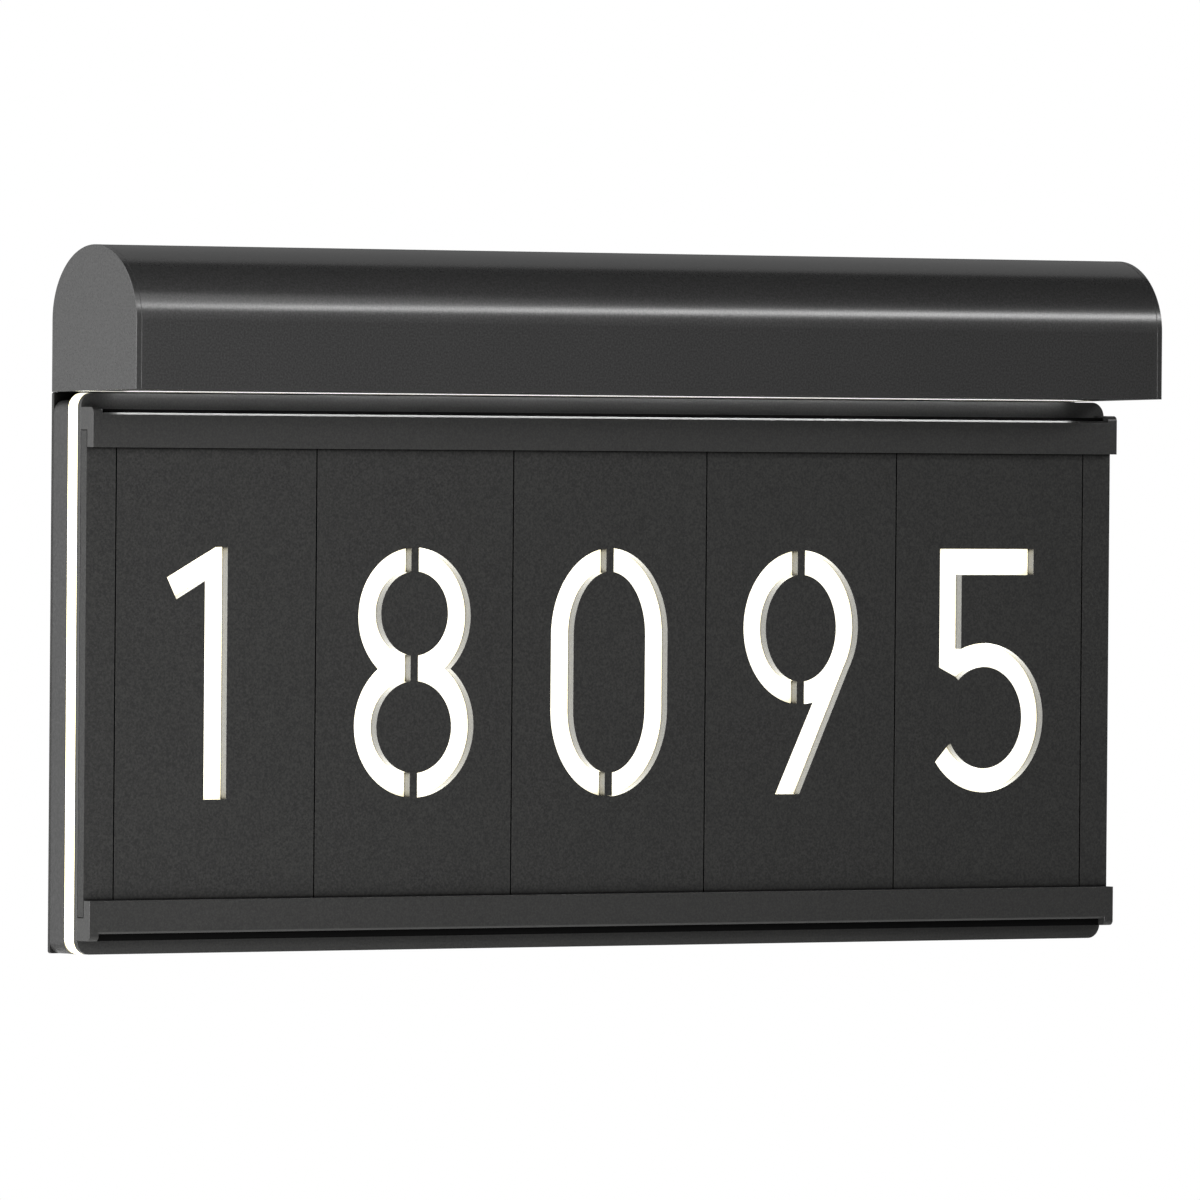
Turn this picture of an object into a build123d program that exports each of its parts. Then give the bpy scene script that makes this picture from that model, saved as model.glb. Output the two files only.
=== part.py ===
from build123d import *
import math
import os

# Illuminated house number sign: a half-round hood with a downlight over a glowing panel, with five
# stencilled number tiles that slide in two rails.
# Millimetres. The wall is the plane Y = 0 and the front faces -Y; +X runs along the digits, to the
# right for someone reading them; +Z is up. The origin is the middle of the wall fixing pattern.
# A "depth" is a distance out from the wall, so a depth of 20 lies at Y = -20.

# ---- overall sizes ------------------------------------------------------------------------------
PANEL_HEIGHT = 224.8         # front frame, bottom edge to top edge

# ---- layers of the panel, from the wall outwards -------------------------------------------------
PLATE_THICKNESS = 1.6        # steel wall plate
PLATE_CORNER = 1.0
HOUSING_DEPTH = 10.3         # cast back housing
DIFFUSER_THICKNESS = 6.6     # opal acrylic whose edge glows all round
FRAME_THICKNESS = 2.2        # front frame sheet
WINDOW_THICKNESS = 2.4       # opal window that stands in the frame's opening
TILE_THICKNESS = 4.0
SLIDE_GAP = 0.3              # running gap round a sliding tile
LIP_THICKNESS = 4.3          # rail lip in front of the tiles

# ---- back housing ----------------------------------------------------------------------------------
HOUSING_TOP_DROP = 3.0       # the housing's top stops below the frame's top
HOUSING_WALL = 4.2
HOUSING_FLOOR = 1.2
HOUSING_CORNER = 4.6
CAVITY_CORNER = 1.0
GASKET_WIDTH = 2.0
GASKET_DEPTH = 1.5

# ---- diffuser and front frame --------------------------------------------------------------------
DIFFUSER_CORNER = 6.3
FRAME_CORNER = 6.0
SCREW_MARGIN = 2.5           # frame screw's head to the window and to the rail
WINDOW_SIDE = 20.0           # frame's upright bars
WINDOW_GAP = 0.3             # window to frame opening, all round

# ---- number tiles ---------------------------------------------------------------------------------
DIGITS = "18095"
TILE_PITCH = 97.84
TILE_SEAM = 0.6              # gap between neighbouring tiles
FILLER_WIDTH = 14.4          # blank strip at each end of the row
TILE_ENGAGEMENT = 6.7        # height of tile edge hidden behind a rail lip
STENCIL_BRIDGE = 3.7         # bars that hold a digit's islands

# ---- rails ------------------------------------------------------------------------------------------
RAIL_INSET = 5.6             # frame's edge to the rail's lugs
TOP_LIP_HEIGHT = 13.9
BOTTOM_LIP_HEIGHT = 13.3
TOP_LUG_RISE = 2.2           # end lugs stand above the lip
BOTTOM_LUG_RISE = 2.9
LUG_LENGTH = 4.4
LUG_ROUNDING = 2.1
LIP_EDGE_CHAMFER = 0.8
SEAL_DEPTH = 5.0             # rubber seals between the end lugs
TOP_SEAL_HEIGHT = 1.35

# ---- hood -------------------------------------------------------------------------------------------
HOOD_DEPTH = 60.0
HOOD_RADIUS = HOOD_DEPTH / 2     # the top is a true half circle
HOOD_CLEARANCE = 1.5         # frame's top to the hood's front bottom edge
HOOD_FLAT_HEIGHT = 27.8      # flat front, below the half circle
UNDERSIDE_FALL = 1.2         # the underside falls towards the wall
HOOD_WALL = 1.6
END_CAP_THICKNESS = 2.4
CAP_SEAT_GAP = 0.05          # end cap to the shell and to the wall plate
TONGUE_THICKNESS = 1.5       # rim that locates a cap in the shell's arch
TONGUE_LENGTH = 4.5
BASE_THICKNESS = 1.5
BASE_EDGE_GAP = 0.2          # base sheet to the shell, caps and wall plate
PLATE_TOP_GAP = 0.2          # wall plate to the shell's back leg
BACK_LEG = 2.7               # straight stretch of shell below the arc, at the back
SHELL_LIP_DEPTH = 12.0
SHELL_LIP_THICKNESS = 1.8

# ---- brackets, driver and wiring in the hood -------------------------------------------------------
BRACKET_INSET = 23.0         # sign's end to the bracket's middle
BRACKET_WIDTH = 24.0
BRACKET_THICKNESS = 2.0
BRACKET_END_GAP = 2.8        # bracket's end to the shell's lip
BRACKET_SCREW_INSET = 10.0
DRIVER_LENGTH = 150.0
DRIVER_X = 35.0
DRIVER_DEPTH = 22.0
DRIVER_GAP = 1.7             # above and below the driver
DRIVER_FOOT = 12.0
DRIVER_FOOT_THICKNESS = 2.0
TERMINAL_LENGTH = 30.0
TERMINAL_X = -112.0
TERMINAL_DEPTH = 18.0
TERMINAL_HEIGHT = 14.0
TERMINAL_WAYS = 3
TERMINAL_HOLE = 2.0          # radius
CABLE_ENTRY_X = -165.0
CABLE_ENTRY_BORE = 5.0       # radius left for the supply cable
GROMMET_WALL = 2.5
GROMMET_FLANGE = 2.0
LEAD_RADIUS = 1.5
LEAD_BEND = 10.0             # radius of the lead's centre line
LEAD_CHIPS = 6               # the lead drops this many chip pitches right of the middle
LEAD_HOLE_GAP = 0.3          # lead to its bush
BUSH_WALL = 1.2
BUSH_TO_GROOVE = 0.4         # metal between the bush and the gasket groove

# ---- downlight in the hood's base --------------------------------------------------------------------
DOWNLIGHT_INSET = 18.0       # sign's end to the lens
DOWNLIGHT_DEPTH = 24.2       # wall to the lens
DOWNLIGHT_WIDTH = 5.0
DOWNLIGHT_MARGIN = 0.6       # lens edge to the chip ribbon
DOWNLIGHT_STRIP = 1.0        # thickness of the ribbon
DOWNLIGHT_LEAD_X = 95.0
DOWNLIGHT_LEAD_RISE = 7.0
DOWNLIGHT_LEAD_BEND = 2.0

# ---- light engine ------------------------------------------------------------------------------------
BOARD_COUNT = 4
BOARD_PITCH = 40.0
BOARD_INSET = 24.0           # sign's end to the boards' ends
BOARD_WIDTH = 12.0
BOARD_THICKNESS = 1.6
CHIPS_PER_BOARD = 16
CHIP_END = 17.5              # board's end to the first chip
CHIP_SIZE = 3.0
CHIP_HEIGHT = 0.8
REFLECTOR_THICKNESS = 0.4
REFLECTOR_MARGIN = 1.0       # reflector to the housing's walls
CONNECTOR_LENGTH = 8.0
CONNECTOR_HEIGHT = 4.5
JUMPER_RADIUS = 0.8
JUMPER_INSET = 10.0          # board's end to its connector

# ---- fixings ------------------------------------------------------------------------------------------
WALL_HOLE_INSET_X = 59.0     # wall plate's fixing holes, from the panel's edges
WALL_HOLE_INSET_Z = 37.4
WALL_HOLE_RADIUS = 2.75
WALL_HEAD_RADIUS = 6.0       # room for the wall screw's head in the housing floor
M3 = 1.5                     # shank radius
M3_HEAD = 2.8
M3_HEAD_HEIGHT = 1.6
M4 = 2.0
M4_HEAD = 3.6
M4_HEAD_HEIGHT = 2.2
COUNTERSINK = 1.2            # height of the countersunk heads under the hood
HOLE_GAP = 0.05              # screw to the thread that holds it
PASS_GAP = 0.3               # screw or head to a hole that it passes
BOSS_RADIUS = 4.0
FRAME_SCREW_COLUMNS = 3
FRAME_SCREW_INSET = 44.0     # sign's end to the first screw
HOUSING_SCREW_X = 150.0
RAIL_SCREW_COLUMNS = 4
RAIL_SCREW_INSET = 34.0
RAIL_SCREW_REACH = 4.5       # thread inside the rail
HOOD_SCREW_COLUMNS = 4
HOOD_SCREW_INSET = 69.0

# ---- levels worked out from the sizes above --------------------------------------------------------
WIDTH = len(DIGITS) * TILE_PITCH + 2 * FILLER_WIDTH    # every outer piece is flush with this
HALF = WIDTH / 2
PANEL_TOP = PANEL_HEIGHT / 2
PANEL_BOTTOM = -PANEL_HEIGHT / 2
HOUSING_TOP = PANEL_TOP - HOUSING_TOP_DROP
HOUSING_BACK = PLATE_THICKNESS
HOUSING_INSIDE = HOUSING_BACK + HOUSING_FLOOR
HOUSING_RIM = HOUSING_BACK + HOUSING_DEPTH
DIFFUSER_FRONT = HOUSING_RIM + DIFFUSER_THICKNESS
FRAME_FRONT = DIFFUSER_FRONT + FRAME_THICKNESS
WINDOW_FRONT = DIFFUSER_FRONT + WINDOW_THICKNESS
TILE_BACK = WINDOW_FRONT + SLIDE_GAP
TILE_FRONT = TILE_BACK + TILE_THICKNESS
LIP_BACK = TILE_FRONT + SLIDE_GAP
LIP_FRONT = LIP_BACK + LIP_THICKNESS
TOP_LUG_EDGE = PANEL_TOP - RAIL_INSET
BOTTOM_LUG_EDGE = PANEL_BOTTOM + RAIL_INSET
TOP_LIP_EDGE = TOP_LUG_EDGE - TOP_LUG_RISE
BOTTOM_LIP_EDGE = BOTTOM_LUG_EDGE + BOTTOM_LUG_RISE
OPENING_TOP = TOP_LIP_EDGE - TOP_LIP_HEIGHT
OPENING_BOTTOM = BOTTOM_LIP_EDGE + BOTTOM_LIP_HEIGHT
TILE_TOP = OPENING_TOP + TILE_ENGAGEMENT
TILE_BOTTOM = OPENING_BOTTOM - TILE_ENGAGEMENT
FRAME_SCREW_BAND = 2 * (M3_HEAD + SCREW_MARGIN)
WINDOW_TOP = OPENING_TOP - FRAME_SCREW_BAND
WINDOW_BOTTOM = OPENING_BOTTOM + FRAME_SCREW_BAND
WINDOW_END = HALF - WINDOW_SIDE
HOOD_FRONT_BOTTOM = PANEL_TOP + HOOD_CLEARANCE
SPRING_LINE = HOOD_FRONT_BOTTOM + HOOD_FLAT_HEIGHT
PLATE_TOP = SPRING_LINE - BACK_LEG - PLATE_TOP_GAP
SHELL_END = HALF - END_CAP_THICKNESS - CAP_SEAT_GAP
BOARD_FRONT = HOUSING_INSIDE + BOARD_THICKNESS
REFLECTOR_FRONT = BOARD_FRONT + REFLECTOR_THICKNESS
BOARD_LENGTH = WIDTH - 2 * BOARD_INSET
CHIP_PITCH = (BOARD_LENGTH - 2 * CHIP_END) / (CHIPS_PER_BOARD - 1)
JUMPER_X = JUMPER_INSET - BOARD_LENGTH / 2
LEAD_X = LEAD_CHIPS * CHIP_PITCH
BRACKET_X = HALF - BRACKET_INSET
BRACKET_END = HOOD_DEPTH - HOOD_WALL - SHELL_LIP_DEPTH - BRACKET_END_GAP
ELECTRICS_FLOOR = HOOD_FRONT_BOTTOM + BASE_THICKNESS
ELECTRICS_Z = (ELECTRICS_FLOOR + PLATE_TOP) / 2     # middle of the driver, terminals and wire entry
DRIVER_HEIGHT = PLATE_TOP - ELECTRICS_FLOOR - 2 * DRIVER_GAP


def underside(depth):
    """Height of the hood's sloping underside at a depth."""
    return HOOD_FRONT_BOTTOM - UNDERSIDE_FALL * (HOOD_DEPTH - depth) / HOOD_DEPTH


# ---- helpers --------------------------------------------------------------------------------------------
def layer(face, near, far):
    """Extrude a face drawn in X and Z from one depth to another."""
    return extrude(Plane.XZ.offset(near) * face, amount=far - near)


def slab(left, right, bottom, top, near, far, corner=0.0):
    """Flat plate between two depths, with rounded corners if asked."""
    width = right - left
    height = top - bottom
    outline = RectangleRounded(width, height, corner) if corner else Rectangle(width, height)
    return layer(Pos((left + right) / 2, (bottom + top) / 2) * outline, near, far)


def rod(x, z, near, far, radius):
    """Round rod or drill, square to the wall."""
    return layer(Pos(x, z) * Circle(radius), near, far)


def upright(x, depth, low, high, radius):
    """Round rod or drill that stands along Z."""
    return Pos(x, -depth, low) * Cylinder(radius, high - low, align=(Align.CENTER, Align.CENTER, Align.MIN))


def bar(points, start, end):
    """Extrude a section, drawn as (depth, height) points, along X."""
    section = make_face(Polyline([(-depth, height) for depth, height in points], close=True))
    return extrude(Plane.YZ.offset(start) * section, amount=end - start)


def pan_screw(x, z, seat, reach, radius, head, head_height):
    """Pan-head screw that points at the wall, its head in front of the seat."""
    return rod(x, z, seat - reach, seat, radius) + rod(x, z, seat, seat + head_height, head)


def save(node, solids):
    """Write a node: one solid, or a group of separate solids."""
    shape = Compound(children=list(solids)) if isinstance(solids, (list, tuple)) else solids
    export_step(shape, f"parts/{node}.step")


# ---- positions that several pieces share ------------------------------------------------------------
def spread(count, inset):
    """Even places along X, the first and last at an inset from the sign's ends."""
    reach = HALF - inset
    return [reach * (2 * place / (count - 1) - 1) for place in range(count)]


def grid(columns, rows):
    """Every pair of an X and a Z."""
    return [(x, z) for x in columns for z in rows]


def both(distance):
    """A distance on each side of the middle."""
    return (-distance, distance)


FRAME_SCREW_ROWS = (OPENING_BOTTOM + FRAME_SCREW_BAND / 2, OPENING_TOP - FRAME_SCREW_BAND / 2)
FRAME_SCREWS = grid(spread(FRAME_SCREW_COLUMNS, FRAME_SCREW_INSET), FRAME_SCREW_ROWS)
HOUSING_SCREWS = grid(both(HOUSING_SCREW_X), both(BOARD_PITCH))
WALL_HOLES = grid(both(HALF - WALL_HOLE_INSET_X), both(PANEL_TOP - WALL_HOLE_INSET_Z))
RAIL_SCREW_X = spread(RAIL_SCREW_COLUMNS, RAIL_SCREW_INSET)
HOOD_SCREW_X = spread(HOOD_SCREW_COLUMNS, HOOD_SCREW_INSET)
TOP_RAIL_SCREW_Z = (TILE_TOP + SLIDE_GAP + TOP_LIP_EDGE) / 2
BOTTOM_RAIL_SCREW_Z = (TILE_BOTTOM - SLIDE_GAP + BOTTOM_LIP_EDGE) / 2
RAIL_SCREWS = grid(RAIL_SCREW_X, (BOTTOM_RAIL_SCREW_Z, TOP_RAIL_SCREW_Z))
BOARD_ROWS = [(row - (BOARD_COUNT - 1) / 2) * BOARD_PITCH for row in range(BOARD_COUNT)]
CHIP_COLUMNS = [(column - (CHIPS_PER_BOARD - 1) / 2) * CHIP_PITCH for column in range(CHIPS_PER_BOARD)]
DRIVER_SCREW_X = [DRIVER_X + side * (DRIVER_LENGTH + DRIVER_FOOT) / 2 for side in (-1, 1)]
HOOD_SCREW_DEPTH = HOOD_DEPTH - HOOD_WALL - SHELL_LIP_DEPTH / 2
BRACKET_SCREW_DEPTH = BRACKET_END - BRACKET_SCREW_INSET
BUSH_RADIUS = LEAD_RADIUS + LEAD_HOLE_GAP + BUSH_WALL
LEAD_DEPTH = HOUSING_RIM - GASKET_DEPTH - BUSH_TO_GROOVE - BUSH_RADIUS


# ---- wall plate and back housing -----------------------------------------------------------------------
def wall_plate():
    """Sheet against the wall: full width behind the housing, narrower inside the hood."""
    inside = SHELL_END - BASE_EDGE_GAP
    plate = slab(-HALF, HALF, PANEL_BOTTOM, underside(0) - CAP_SEAT_GAP, 0, PLATE_THICKNESS, PLATE_CORNER)
    plate += slab(-inside, inside, HOUSING_TOP, PLATE_TOP, 0, PLATE_THICKNESS)
    for x, z in WALL_HOLES:
        plate -= rod(x, z, 0, PLATE_THICKNESS, WALL_HOLE_RADIUS)
    for x, z in HOUSING_SCREWS:
        plate -= rod(x, z, 0, PLATE_THICKNESS, M3 + HOLE_GAP)
    for x in DRIVER_SCREW_X:
        plate -= rod(x, ELECTRICS_Z, 0, PLATE_THICKNESS, M3 + HOLE_GAP)
    for side in (-1, 1):
        plate -= rod(side * BRACKET_X, ELECTRICS_Z, 0, PLATE_THICKNESS, M4 + HOLE_GAP)
    return plate - rod(CABLE_ENTRY_X, ELECTRICS_Z, 0, PLATE_THICKNESS, CABLE_ENTRY_BORE + GROMMET_WALL)


def inside_housing(inset, near, far, corner):
    """Block that stands in from the housing's outline by an inset, between two depths."""
    return slab(-HALF + inset, HALF - inset, PANEL_BOTTOM + inset, HOUSING_TOP - inset, near, far, corner)


def back_housing():
    """Cast pan with a gasket groove in its rim, screw bosses and a lead hole in its top wall."""
    housing = slab(-HALF, HALF, PANEL_BOTTOM, HOUSING_TOP, HOUSING_BACK, HOUSING_RIM, HOUSING_CORNER)
    housing -= inside_housing(HOUSING_WALL, HOUSING_INSIDE, HOUSING_RIM, CAVITY_CORNER)
    for x, z in FRAME_SCREWS:
        housing += rod(x, z, HOUSING_INSIDE, HOUSING_RIM, BOSS_RADIUS)
        housing -= rod(x, z, HOUSING_INSIDE, HOUSING_RIM, M3 + HOLE_GAP)
    for x, z in HOUSING_SCREWS:
        housing -= rod(x, z, HOUSING_BACK, HOUSING_INSIDE, M3 + PASS_GAP)
    for x, z in WALL_HOLES:
        housing -= rod(x, z, HOUSING_BACK, HOUSING_INSIDE, WALL_HEAD_RADIUS)
    housing -= upright(LEAD_X, LEAD_DEPTH, HOUSING_TOP - HOUSING_WALL, HOUSING_TOP, BUSH_RADIUS)
    return housing - gasket_ring()


def gasket_ring():
    """Silicone cord that lies in the groove of the housing's rim."""
    groove = HOUSING_RIM - GASKET_DEPTH
    inset = (HOUSING_WALL - GASKET_WIDTH) / 2
    corner = HOUSING_CORNER - inset
    outside = inside_housing(inset, groove, HOUSING_RIM, corner)
    return outside - inside_housing(inset + GASKET_WIDTH, groove, HOUSING_RIM, corner - GASKET_WIDTH)


# ---- light engine ------------------------------------------------------------------------------------
def led_boards():
    """Aluminium-backed strips, one a row, on the housing floor."""
    half = BOARD_LENGTH / 2
    rim = BOARD_WIDTH / 2
    return [slab(-half, half, row - rim, row + rim, HOUSING_INSIDE, BOARD_FRONT) for row in BOARD_ROWS]


def chip(x, z, near, far, grow=0.0):
    """One light-emitting chip, or the window that clears it."""
    half = CHIP_SIZE / 2 + grow
    return slab(x - half, x + half, z - half, z + half, near, far)


def led_chips():
    """Every chip of every board."""
    return [chip(x, z, BOARD_FRONT, BOARD_FRONT + CHIP_HEIGHT) for z in BOARD_ROWS for x in CHIP_COLUMNS]


def reflector_sheet():
    """White sheet over the boards, with a window for each chip and clearance for fixings."""
    sheet = inside_housing(HOUSING_WALL + REFLECTOR_MARGIN, BOARD_FRONT, REFLECTOR_FRONT, CAVITY_CORNER)
    cuts = [chip(x, z, BOARD_FRONT, REFLECTOR_FRONT, PASS_GAP) for z in BOARD_ROWS for x in CHIP_COLUMNS]
    cuts += [rod(x, z, BOARD_FRONT, REFLECTOR_FRONT, BOSS_RADIUS + PASS_GAP) for x, z in FRAME_SCREWS]
    cuts += [rod(x, z, BOARD_FRONT, REFLECTOR_FRONT, M3_HEAD + PASS_GAP) for x, z in HOUSING_SCREWS]
    cuts += [rod(x, z, BOARD_FRONT, REFLECTOR_FRONT, WALL_HEAD_RADIUS) for x, z in WALL_HOLES]
    cuts += [connector(x, row, PASS_GAP) for x, row in connector_places()]
    return sheet - cuts


def connector_places():
    """Jumper connectors on each board, and the lead's connector on the top board."""
    return [(JUMPER_X, row) for row in BOARD_ROWS] + [(LEAD_X, BOARD_ROWS[-1])]


def connector(x, row, grow=0.0):
    """Socket on a board."""
    half = CONNECTOR_LENGTH / 2 + grow
    rim = BOARD_WIDTH / 3 + grow
    return slab(x - half, x + half, row - rim, row + rim, BOARD_FRONT, BOARD_FRONT + CONNECTOR_HEIGHT)


def board_jumpers():
    """Short wires from each board's connector to the next."""
    rim = BOARD_WIDTH / 3
    depth = BOARD_FRONT + CONNECTOR_HEIGHT / 2
    pairs = zip(BOARD_ROWS[:-1], BOARD_ROWS[1:])
    return [upright(JUMPER_X, depth, low + rim, high - rim, JUMPER_RADIUS) for low, high in pairs]


# ---- diffuser, window and front frame ---------------------------------------------------------------
def diffuser_panel():
    """Thick opal panel, drilled for the frame screws and pocketed for the rail screws' heads."""
    panel = slab(-HALF, HALF, PANEL_BOTTOM, PANEL_TOP, HOUSING_RIM, DIFFUSER_FRONT, DIFFUSER_CORNER)
    for x, z in FRAME_SCREWS:
        panel -= rod(x, z, HOUSING_RIM, DIFFUSER_FRONT, M3 + PASS_GAP)
    for x, z in RAIL_SCREWS:
        pocket = M3_HEAD_HEIGHT + PASS_GAP
        panel -= rod(x, z, DIFFUSER_FRONT - pocket, DIFFUSER_FRONT, M3_HEAD + PASS_GAP)
    return panel


def number_window():
    """Opal sheet that lights the digits from behind."""
    return window_block(0, WINDOW_FRONT)


def window_block(grow, front):
    """The window's outline, grown all round, from the diffuser to a depth."""
    end = WINDOW_END + grow
    return slab(-end, end, WINDOW_BOTTOM - grow, WINDOW_TOP + grow, DIFFUSER_FRONT, front)


def countersink(x, z):
    """Cone of a countersunk head that ends flush with the frame's front."""
    cone = Cone(M3, M3_HEAD, FRAME_THICKNESS, align=(Align.CENTER, Align.CENTER, Align.MIN))
    return Plane.XZ.offset(DIFFUSER_FRONT) * (Pos(x, z) * cone)


def front_frame():
    """Sheet frame with rounded corners round the window."""
    frame = slab(-HALF, HALF, PANEL_BOTTOM, PANEL_TOP, DIFFUSER_FRONT, FRAME_FRONT, FRAME_CORNER)
    frame -= window_block(WINDOW_GAP, FRAME_FRONT)
    for x, z in FRAME_SCREWS:
        frame -= countersink(x, z)
    for x, z in RAIL_SCREWS:
        frame -= rod(x, z, DIFFUSER_FRONT, FRAME_FRONT, M3 + PASS_GAP)
    return frame


def frame_screws():
    """Countersunk screws from the frame into the housing's bosses."""
    return [rod(x, z, HOUSING_INSIDE, DIFFUSER_FRONT, M3) + countersink(x, z) for x, z in FRAME_SCREWS]


# ---- rails and their seals ----------------------------------------------------------------------------
def rail(tile_edge, opening, lip_edge, lug_edge):
    """Rail with a slot for the tiles; its end lugs stand past the lip. Edges run outwards in Z."""
    slot = tile_edge + math.copysign(SLIDE_GAP, tile_edge)
    section = [
        (FRAME_FRONT, slot), (LIP_BACK, slot), (LIP_BACK, opening),
        (LIP_FRONT, opening), (LIP_FRONT, lug_edge), (FRAME_FRONT, lug_edge),
    ]
    body = bar(section, -HALF, HALF)
    outer = body.edges().filter_by(Axis.X).filter_by(
        lambda edge: abs(edge.center().Y + LIP_FRONT) < 0.01 and abs(edge.center().Z - lug_edge) < 0.01
    )
    body = fillet(outer, LUG_ROUNDING)
    low, high = sorted((lip_edge, lug_edge))
    body -= slab(-HALF + LUG_LENGTH, HALF - LUG_LENGTH, low, high, FRAME_FRONT, LIP_FRONT)
    rim = body.edges().filter_by(Axis.X).filter_by(
        lambda edge: abs(edge.center().Y + LIP_FRONT) < 0.01 and abs(edge.center().Z - lip_edge) < 0.01
        and edge.length < WIDTH - LUG_LENGTH
    )
    return chamfer(rim, LIP_EDGE_CHAMFER)


def rail_holes(z):
    """Threaded holes in a rail's back."""
    reach = FRAME_FRONT + RAIL_SCREW_REACH
    return [rod(x, z, FRAME_FRONT, reach, M3 + HOLE_GAP) for x in RAIL_SCREW_X]


def top_rail():
    """Upper rail."""
    return rail(TILE_TOP, OPENING_TOP, TOP_LIP_EDGE, TOP_LUG_EDGE) - rail_holes(TOP_RAIL_SCREW_Z)


def bottom_rail():
    """Lower rail, the upper one's mirror image but for its own heights."""
    body = rail(TILE_BOTTOM, OPENING_BOTTOM, BOTTOM_LIP_EDGE, BOTTOM_LUG_EDGE)
    return body - rail_holes(BOTTOM_RAIL_SCREW_Z)


def rail_seal(lip_edge, rise):
    """Black rubber strip in the recess between a rail's end lugs, against the frame."""
    low, high = sorted((lip_edge, lip_edge + rise))
    return slab(-HALF + LUG_LENGTH, HALF - LUG_LENGTH, low, high, FRAME_FRONT, FRAME_FRONT + SEAL_DEPTH)


def rail_screws():
    """Screws from behind the frame into the rails."""
    screws = []
    for x, z in RAIL_SCREWS:
        shank = rod(x, z, DIFFUSER_FRONT, FRAME_FRONT + RAIL_SCREW_REACH - HOLE_GAP, M3)
        screws.append(shank + rod(x, z, DIFFUSER_FRONT - M3_HEAD_HEIGHT, DIFFUSER_FRONT, M3_HEAD))
    return screws


# ---- digits: strokes drawn about the tile's centre, in X and Z --------------------------------------
DIGIT_TOP = 50.9
DIGIT_BOTTOM = -50.6


def oval(across, up, centre):
    """Ellipse by its half width and half height, centred on a tile's middle line."""
    return Pos(0, centre) * Ellipse(across, up)


def bridge(low, high):
    """Upright bar left standing across a stroke."""
    return Pos(0, (low + high) / 2) * Rectangle(STENCIL_BRIDGE, high - low)


def digit_one():
    """Stem with a short slanting flag."""
    return make_face(Polyline(
        (5.5, DIGIT_TOP), (5.5, DIGIT_BOTTOM), (-5.5, DIGIT_BOTTOM), (-5.5, 37.3), (-19.3, 29.9),
        (-24.0, 38.7), (-0.4, DIGIT_TOP), close=True,
    ))


def digit_five():
    """Flag bar, stem and an open bowl."""
    bar_and_stem = make_face(Polyline(
        (23.3, DIGIT_TOP), (23.3, 40.1), (-14.4, 40.1), (-14.4, 6.0), (-17.1, -2.4), (-25.8, 1.5),
        (-25.8, DIGIT_TOP), close=True,
    ))
    bowl = Pos(-2.4, -19.5) * (Circle(31.1) - Ellipse(19.9, 21.2))
    mouth = make_face(Polyline(
        (-2.4, -19.0), (-17.1, -2.4), (-25.8, 1.5), (-60.0, 1.5), (-60.0, -62.0), (-50.9, -62.0),
        (-21.2, -31.2), close=True,
    ))
    return bar_and_stem + (bowl - mouth)


def digit_eight():
    """Two rings that overlap at the waist, parted by a bridge down the middle."""
    upper = oval(27.9, 27.9, 23.0) - oval(16.6, 17.1, 24.1)
    lower = oval(29.7, 29.1, -21.5) - oval(18.6, 18.7, -22.0)
    islands = oval(16.6, 17.1, 24.1) + oval(18.6, 18.7, -22.0)
    return upper + lower - islands - bridge(DIGIT_BOTTOM, DIGIT_TOP)


def digit_nine():
    """Closed loop with a straight slanting tail."""
    loop = oval(29.5, 31.8, 18.3) - oval(18.1, 22.1, 17.9)
    tail = make_face(Polyline(
        (25.6, 2.7), (-0.2, DIGIT_BOTTOM), (-12.6, DIGIT_BOTTOM), (7.0, -11.7), close=True
    ))
    return loop - bridge(17.9, DIGIT_TOP) - bridge(-13.6, 17.9) + tail


def digit_zero():
    """Tall ring with straight sides and a bridge at its top and bottom."""
    def ring(across, up):
        straight = 15.4
        middle = Rectangle(2 * across, 2 * straight)
        return middle + oval(across, up, straight) + oval(across, up, -straight)

    return ring(29.5, 35.4) - ring(18.1, 25.8) - bridge(DIGIT_BOTTOM, DIGIT_TOP)


STENCILS = {"0": digit_zero, "1": digit_one, "5": digit_five, "8": digit_eight, "9": digit_nine}


def number_tile(position):
    """Tile with its digit cut right through; positions count from the left."""
    centre = (position - (len(DIGITS) - 1) / 2) * TILE_PITCH
    half = (TILE_PITCH - TILE_SEAM) / 2
    tile = slab(centre - half, centre + half, TILE_BOTTOM, TILE_TOP, TILE_BACK, TILE_FRONT)
    stencil = STENCILS[DIGITS[position]]()
    return tile - layer(Pos(centre, 0) * stencil, TILE_BACK, TILE_FRONT)


def filler(side):
    """Blank strip between the last tile and the end of the rails."""
    inner = len(DIGITS) * TILE_PITCH / 2 + TILE_SEAM / 2
    left, right = sorted((side * inner, side * HALF))
    return slab(left, right, TILE_BOTTOM, TILE_TOP, TILE_BACK, TILE_FRONT)


# ---- hood -------------------------------------------------------------------------------------------------
def hood_outline(inset=0.0, floor=0.0):
    """Face of the hood's end: half circle on straight sides, over the sloping underside."""
    near = -inset
    far = -HOOD_DEPTH + inset
    apex = SPRING_LINE + HOOD_RADIUS - inset
    middle = -HOOD_RADIUS
    front_low = underside(HOOD_DEPTH - inset) + floor
    back_low = underside(inset) + floor
    sides = Polyline((far, SPRING_LINE), (far, front_low), (near, back_low), (near, SPRING_LINE))
    arch = ThreePointArc((near, SPRING_LINE), (middle, apex), (far, SPRING_LINE))
    return make_face(sides + arch)


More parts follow.
